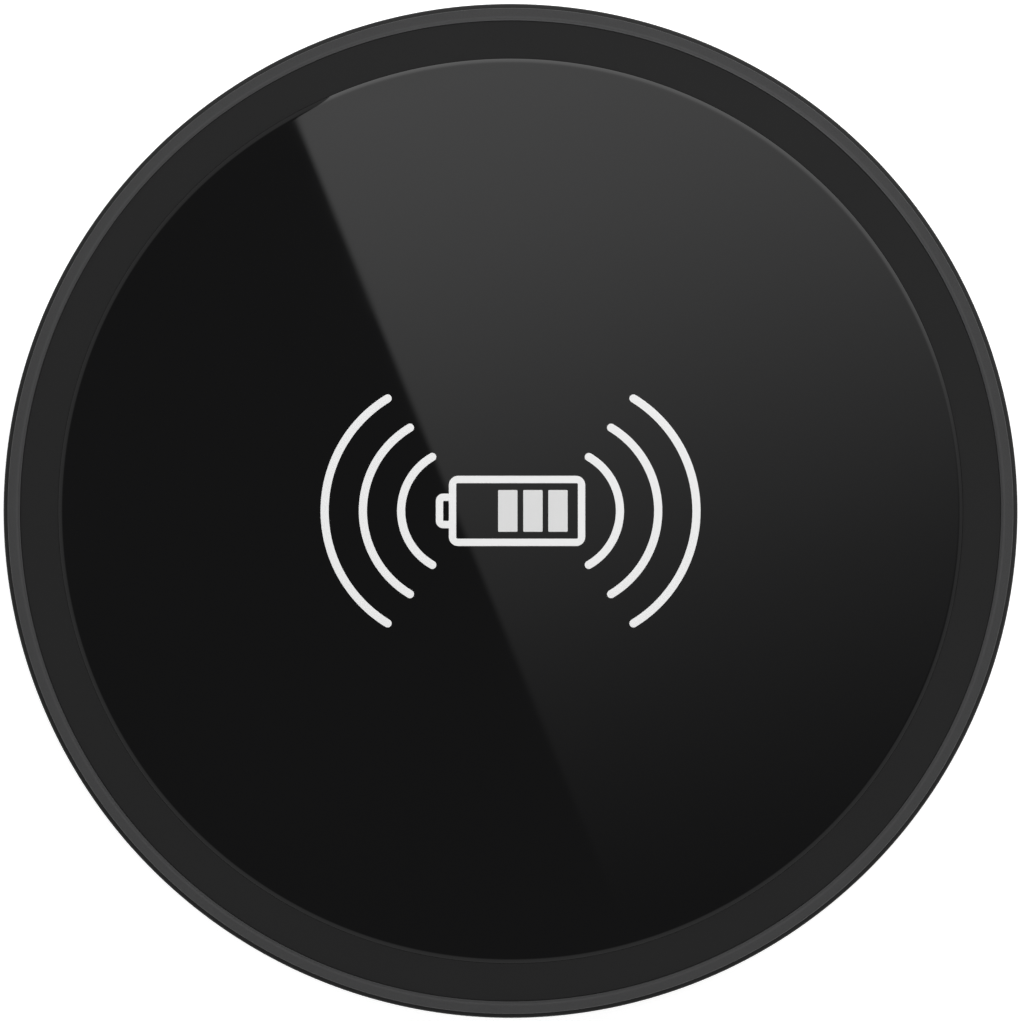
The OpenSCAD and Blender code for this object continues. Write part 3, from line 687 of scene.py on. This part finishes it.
def make_case():
    """The case: recesses underneath for the label and the foot, a round side and a hollow inside."""
    side_r, rim_round, soft = 4.4, 0.15, 0.04
    base, label_r, label_top = 0.8, 30.2, 1.0
    recess_in, recess_out, recess_top = 38, 43, 1.4
    wall_in, inside_r, floor_z, rib_h, rib_rings = 48.2, 3.0, 2.2, 0.5, (33, 18)
    post_foot, screw_post, board_post = 1.6, 3.1, 2.4
    head_hole, head_foot, head_top = 2.1, 0.5, 2.5
    shank_hole, shank_foot, pilot_hole, pilot_foot, hole_top = 1.1, 2.3, 0.78, 1.3, BOARD_Z + 1
    # Each group of ribs is its start and end from the centre, its foot and its top
    side_ribs, floor_ribs = (47, 48.6, 5.5, 7.4), (18.4, 33.4, 1.9, 2.68)
    # Each slot is a row of (y, width, height)
    port_recess = [(USB_FRONT + 0.05, 12.4, 5.0), (USB_FRONT + 0.15, 12.6, 5.2)]
    port_recess += [(USB_FRONT + 0.3, 12.6, 5.2), (50.3, 13.2, 5.8)]
    port_hole = [(45, 9.3, 3.5), (49.2, 9.3, 3.5), (49.5, 9.9, 4.1)]
    window, window_z = [(-50.3, 5.9, 2.2), (-49.85, 5.1, 1.4), (-46, 5.1, 1.4)], 4.9
    profile = [(0, label_top), (label_r, label_top), (label_r, base + soft), (label_r + soft, base)]
    profile += [(recess_in - soft, base), (recess_in, base + soft), (recess_in, recess_top)]
    profile += [(recess_out, recess_top), (recess_out, base + soft), (recess_out + soft, base)]
    profile += arc(CASE_R - side_r, base + side_r, side_r, -90, 0, 28)
    profile += arc(CASE_R - rim_round, SHOULDER_Z - rim_round, rim_round, 0, 90, 6)
    profile += [(wall_in + 0.05, SHOULDER_Z), (wall_in, SHOULDER_Z - 0.05)]
    profile += arc(wall_in - inside_r, floor_z + inside_r, inside_r, 0, -90, 12)
    for rib in rib_rings:
        profile += [(rib + RIB_W, floor_z), (rib + RIB_W, floor_z + rib_h)]
        profile += [(rib, floor_z + rib_h), (rib, floor_z)]
    profile += [(0, floor_z)]
    obj = lathe("case_shell", profile)

    def posts(bm):
        pegs(bm, SCREW_R, SCREW_ANGLES, screw_post, post_foot, BOARD_Z)
        pegs(bm, POST_R, POST_ANGLES, board_post, post_foot, BOARD_Z, 40)
        spokes(bm, RIB_ANGLES, *side_ribs)

    def ribs(bm):
        spokes(bm, range(0, 360, 30), *floor_ribs)

    def holes(bm):
        pegs(bm, SCREW_R, SCREW_ANGLES, head_hole, head_foot, head_top, 40)
        pegs(bm, POST_R, POST_ANGLES, pilot_hole, pilot_foot, hole_top, 24)
        slot_loft(bm, port_recess, USB_Z)
        slot_loft(bm, window, window_z)

    def through(bm):
        pegs(bm, SCREW_R, SCREW_ANGLES, shank_hole, shank_foot, hole_top, 32)
        slot_loft(bm, port_hole, USB_Z)

    combine(obj, "UNION", posts)
    combine(obj, "UNION", ribs)
    combine(obj, "DIFFERENCE", holes)
    combine(obj, "DIFFERENCE", through)
    return finish_piece(obj, "case", 32, ["lower_shell"])


def make_foot():
    """The foot ring, with two grooves in its underside."""
    inner, outer, top, corner = 38.05, 42.95, 1.3, 0.3
    grooves, groove_w, groove_h, soft = (39.483, 41.117), 0.4, 0.25, 0.03
    profile = arc(inner + corner, corner, corner, 180, 270, 6)
    for start in grooves:
        end = start + groove_w
        profile += [(start, 0), (start + soft, groove_h - soft), (start + 2 * soft, groove_h)]
        profile += [(end - 2 * soft, groove_h), (end - soft, groove_h - soft), (end, 0)]
    profile += arc(outer - corner, corner, corner, 270, 360, 6)
    profile += [(outer, top), (inner, top)]
    return finish_piece(lathe("foot", profile), "foot", 40, ["foot_ring"])


# ---------------------------------------------------------------- plated ends of the board's parts


def separate_blocks(node):
    """The corners of each separate solid in a CAD node, in millimetres."""
    bm = bmesh.new()
    bm.from_mesh(nodes[node].data)
    bmesh.ops.remove_doubles(bm, verts=bm.verts, dist=1e-6)
    left, blocks = set(bm.verts), []
    for start in list(bm.verts):
        if start not in left:
            continue
        left.discard(start)
        block, queue = [], [start]
        while queue:
            vert = queue.pop()
            block.append(vert.co / MM)
            for edge in vert.link_edges:
                other = edge.other_vert(vert)
                if other in left:
                    left.discard(other)
                    queue.append(other)
        blocks.append(block)
    bm.free()
    return blocks


def block_axes(block):
    """Centre, direction, length and width of an upright block, whichever way it is turned."""
    shortest = 0.2
    flat = [Vector((p.x, p.y)) for p in block]
    centre = sum(flat, Vector((0, 0))) / len(flat)
    far = max(flat, key=lambda p: (round((p - centre).length, 4), p.x, p.y))
    best = None
    for other in flat:
        side = other - far
        if side.length < shortest:
            continue
        along = side.normalized()
        across = Vector((-along.y, along.x))
        spans = [[(p - centre).dot(d) for p in flat] for d in (along, across)]
        length, width = (max(s) - min(s) for s in spans)
        if best is None or length * width < best[0] - 1e-6:
            best = (length * width, along, across, length, width)
    _, along, across, length, width = best
    return (centre, along, length, width) if length > width else (centre, across, width, length)


def plated_ends(name, node):
    """Tinned caps over both ends of every block in a node, with rounded corners and top edges."""
    # The cap stands proud of the block and covers a share of its length at each end
    proud, corner, share, steps = 0.012, 0.06, 0.2, 3
    bevel = corner * 0.3
    bm = bmesh.new()
    for block in separate_blocks(node):
        centre, along, length, width = block_axes(block)
        z0, z1 = min(p.z for p in block), max(p.z for p in block) + proud
        angle = math.degrees(math.atan2(along.y, along.x))
        half_w = width / 2 + proud
        for side in (-1, 1):
            x0, x1 = sorted((side * length * (0.5 - share), side * (length / 2 + proud)))
            rings = []
            for inset, z in ((0, z0), (0, z1 - corner), (bevel, z1 - bevel), (corner, z1)):
                edge_y = half_w - inset
                outline = rounded_box(x0 + inset, x1 - inset, -edge_y, edge_y, corner, steps)
                outline = [(x + centre.x, y + centre.y) for x, y in turned(outline, angle)]
                rings.append([bm.verts.new((x * MM, y * MM, z * MM)) for x, y in outline])
            bm.faces.new(list(reversed(rings[0])))
            bm.faces.new(rings[-1])
            for one, two in zip(rings, rings[1:]):
                for i in range(len(one)):
                    j = (i + 1) % len(one)
                    bm.faces.new((one[i], one[j], two[j], two[i]))
    return finish_piece(new_object(name, bm), "solder", 40)


make_glass()
make_trim()
make_bezel()
make_symbol()
make_case()
make_foot()
plated_ends("resistor_ends", "chip_resistors")
plated_ends("capacitor_ends", "chip_capacitors")
plated_ends("resonant_ends", "resonant_capacitors")
plated_ends("input_ends", "input_capacitors")
plated_ends("shunt_ends", "current_shunt")


# ---------------------------------------------------------------- pieces kept from the CAD

# A hidden node is one that a mesh above replaces
slots = {s["node"]: s["material_slot"] for s in frame["record"]["subparts"]}
for name, obj in nodes.items():
    if not obj.hide_render:
        obj.data.materials.clear()
        obj.data.materials.append(M[slots[name]])


# ---------------------------------------------------------------- stage, light and camera

# The sky's brightness straight up and at the rim of the soft light, and the soft light's own
ZENITH, RIM_SKY, NEAR_LIGHT, FAR_LIGHT = 0.1, 0.48, 1.25, 0.9

# Brightness of the sky by the height of the direction, from 0 at the horizon to 1 straight up
SKY = [(0.0, 0.3), (0.046, 0.4), (0.06, 1.0), (0.09, 2.05), (0.2, 2.05), (0.225, 0.95)]
SKY += [(0.245, 0.6), (0.285, 0.32), (0.395, 0.35), (0.455, 0.95), (0.5, 1.55), (0.64, 1.35)]
SKY += [(0.76, 0.55), (0.94, RIM_SKY), (0.985, ZENITH), (1.0, ZENITH)]


def stage_material(name):
    """A material for the stage, and its empty node tree."""
    made = bpy.data.materials.new(name)
    return made, Tree(made, empty=True)


def make_floor():
    """A white table just under the pad. Its own glow keeps it white next to the pad."""
    size, gap, white, glow = 12, 0.00002, 0.95, 0.53
    bpy.ops.mesh.primitive_plane_add(size=size, location=(0, 0, -gap))
    floor = bpy.context.object
    floor.name = "floor"
    made, t = stage_material("floor")
    both = t.add("ShaderNodeAddShader")
    t.link(t.shader("ShaderNodeBsdfDiffuse", Color=(white, white, white, 1)), both.inputs[0])
    t.link(t.shader("ShaderNodeEmission", Color=(1, 1, 1, 1), Strength=glow), both.inputs[1])
    t.link(both.outputs[0], t.add("ShaderNodeOutputMaterial").inputs["Surface"])
    floor.data.materials.append(made)


def make_world():
    """The sky: a little weaker at the rear and on the right. Behind the pad it shows as white."""
    lean, backdrop = (0.034, 0.094, 0), 1.05
    world = bpy.data.worlds.new("studio")
    scene.world = world
    t = Tree(world, empty=True)
    place = t.add("ShaderNodeTexCoord").outputs["Generated"]
    split = t.add("ShaderNodeSeparateXYZ")
    t.link(place, split.inputs[0])
    ramp = t.add("ShaderNodeValToRGB")
    t.link(split.outputs["Z"], ramp.inputs["Fac"])
    stops = ramp.color_ramp.elements
    stops[0].position, stops[1].position = SKY[0][0], SKY[-1][0]
    for position, _ in SKY[1:-1]:
        stops.new(position)
    for stop, (position, value) in zip(stops, SKY):
        stop.position = position
        stop.color = (value, value, value, 1)
    strength = t.maths("SUBTRACT", 1.0, t.dot(place, lean))
    dome = t.shader("ShaderNodeBackground", Color=ramp.outputs["Color"], Strength=strength)
    white = t.shader("ShaderNodeBackground", Color=(1, 1, 1, 1), Strength=backdrop)
    mix = t.add("ShaderNodeMixShader")
    t.link(t.add("ShaderNodeLightPath").outputs["Is Camera Ray"], mix.inputs["Fac"])
    t.link(dome, mix.inputs[1])
    t.link(white, mix.inputs[2])
    t.link(mix.outputs[0], t.add("ShaderNodeOutputWorld").inputs["Surface"])


def make_soft_light():
    """A large feathered sheet of light over the rear right. The glass reflects its straight edge."""
    # Heights of the sheet and of the eye over the glass. What the glass shows grows by their spread.
    height, eye = 0.3, 0.558
    spread = 1 + height / eye
    edge_at = Vector((-0.0197, 0.0343)) * spread
    edge_along, across = Vector((-0.3776, 0.926)), Vector((0.926, 0.3776))
    fade, fade_half, far_start, far_end = Vector((-0.2756, 0.9613)), 0.042, 0.046, 0.3
    front, rear, right, feather_w = -0.062, 0.62, 0.55, 0.0009
    sky_start, sky_end = 0.12, 0.177
    rise = ((0.14, 0.042), (0.29, 0.126), (0.43, 0.263), (0.57, 0.44), (0.71, 0.648), (0.86, 0.854))

    def on_edge(y):
        return (edge_at + edge_along * (y - edge_at.y) / edge_along.y).x, y

    bm = bmesh.new()
    corners = [on_edge(front), (right, front), (right, rear), on_edge(rear)]
    bm.faces.new([bm.verts.new((x, y, 0)) for x, y in corners])
    mesh = bpy.data.meshes.new("soft_light")
    bm.to_mesh(mesh)
    bm.free()
    sheet = bpy.data.objects.new("soft_light", mesh)
    sheet.location = (0, 0, height + GLASS_TOP * MM)
    scene.collection.objects.link(sheet)

    made, t = stage_material("soft_light")
    place = t.add("ShaderNodeTexCoord").outputs["Object"]

    def measure(direction, offset, start, end, top):
        """Distance past a point, along a direction of the sheet, mapped from start..end to 0..top."""
        zero = direction.dot(offset)
        distance = t.dot(place, (direction.x, direction.y, 0))
        return t.spread(distance, 0, top, zero + start, zero + end)

    centre = Vector((0, 0))
    curve = t.add("ShaderNodeFloatCurve")
    points = curve.mapping.curves[0].points
    points[0].location = (0.0, 0.0)
    points[1].location = (1.0, 1.0)
    for x, y in rise:
        points.new(x, y)
    curve.mapping.update()
    half = fade_half * spread
    t.link(measure(fade, centre, -half, half, 1), curve.inputs["Value"])
    near = t.maths("MULTIPLY", curve.outputs["Value"], NEAR_LIGHT)
    far = measure(fade, centre, far_start * spread, far_end, FAR_LIGHT)
    feather = measure(across, edge_at, 0.0, feather_w, 1)
    lit = t.maths("MULTIPLY", t.maths("ADD", near, far), feather)
    sky = t.spread(t.length(place), ZENITH, RIM_SKY, sky_start, sky_end)
    glow = t.shader("ShaderNodeEmission", Strength=t.maths("ADD", lit, sky))
    t.link(glow, t.add("ShaderNodeOutputMaterial").inputs["Surface"])
    mesh.materials.append(made)
    sheet.visible_camera = False
    sheet.visible_shadow = False


def make_camera():
    """A long lens straight above the pad, whose rim almost fills the picture."""
    sensor, lens = 36, 200
    rim_z, margin = 8.03 * MM, 511 / 507.06
    data = bpy.data.cameras.new("camera")
    data.sensor_width = sensor
    data.lens = lens
    data.clip_start, data.clip_end = 0.01, 50
    camera = bpy.data.objects.new("camera", data)
    half_width = CASE_R * MM * margin
    camera.location = (0.045 * MM, 0.04 * MM, rim_z + half_width * lens / (sensor / 2))
    scene.collection.objects.link(camera)
    scene.camera = camera


make_floor()
make_world()
make_soft_light()
make_camera()
scene.view_settings.view_transform = "Standard"
scene.view_settings.look = "None"
